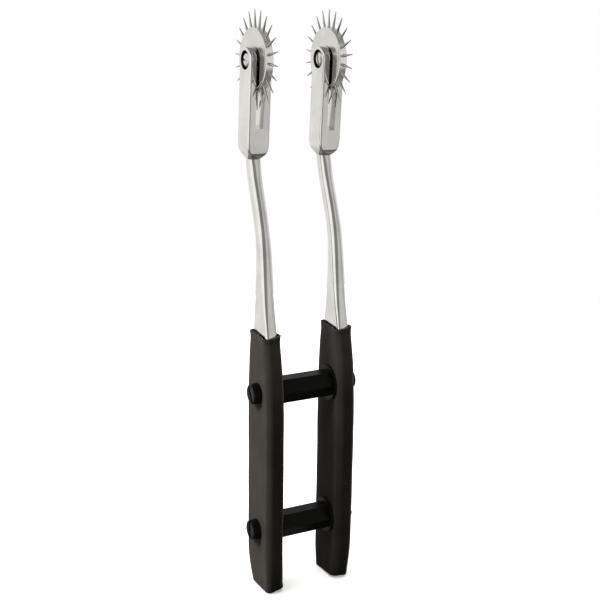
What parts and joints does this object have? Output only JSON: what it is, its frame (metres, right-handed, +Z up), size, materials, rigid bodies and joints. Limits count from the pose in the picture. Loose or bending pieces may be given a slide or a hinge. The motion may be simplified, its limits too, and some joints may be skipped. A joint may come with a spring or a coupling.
{
  "type": "twin tracing wheel",
  "caption": "Twin tracing wheel: needle wheels that spin freely in two parallel forked steel arms, with black sleeves joined by hexagonal spacers.",
  "frame": {"origin": "on the plane of the handle ends, under the middle of the object's box", "axes": "+X along the wheel axles and the spacers, +Y from front to back, towards the side that the arms bend to, +Z up from the handle ends to the wheels"},
  "size_m": [0.0376, 0.0334, 0.19],
  "materials": {
    "arm_steel": "polished",
    "wheel_steel": "polished",
    "needle_steel": "polished",
    "screw_steel": "turned",
    "sleeve_rubber": "satin shrink tube",
    "black_nylon": "moulded"
  },
  "bodies": {
    "frame": {"left_arm": "arm_steel", "left_sleeve": "sleeve_rubber", "left_axle_screw": "screw_steel", "left_wheel_washers": "screw_steel", "left_spacer_washers": "black_nylon", "left_lower_screw": "black_nylon", "left_upper_screw": "black_nylon", "right_arm": "arm_steel", "right_sleeve": "sleeve_rubber", "right_axle_screw": "screw_steel", "right_wheel_washers": "screw_steel", "right_spacer_washers": "black_nylon", "right_lower_screw": "black_nylon", "right_upper_screw": "black_nylon", "lower_spacer": "black_nylon", "upper_spacer": "black_nylon"},
    "left_wheel": {"left_wheel": "wheel_steel", "left_needles": "needle_steel"},
    "right_wheel": {"right_wheel": "wheel_steel", "right_needles": "needle_steel"}
  },
  "joints": [
    {"name": "left_wheel_spin", "type": "hinge", "parent": "frame", "child": "left_wheel", "pos_m": [-0.01275, 0.0014, 0.1747], "axis": [1, 0, 0], "continuous": true},
    {"name": "right_wheel_spin", "type": "hinge", "parent": "frame", "child": "right_wheel", "pos_m": [0.01275, 0.0014, 0.1747], "axis": [1, 0, 0], "continuous": true}
  ]
}
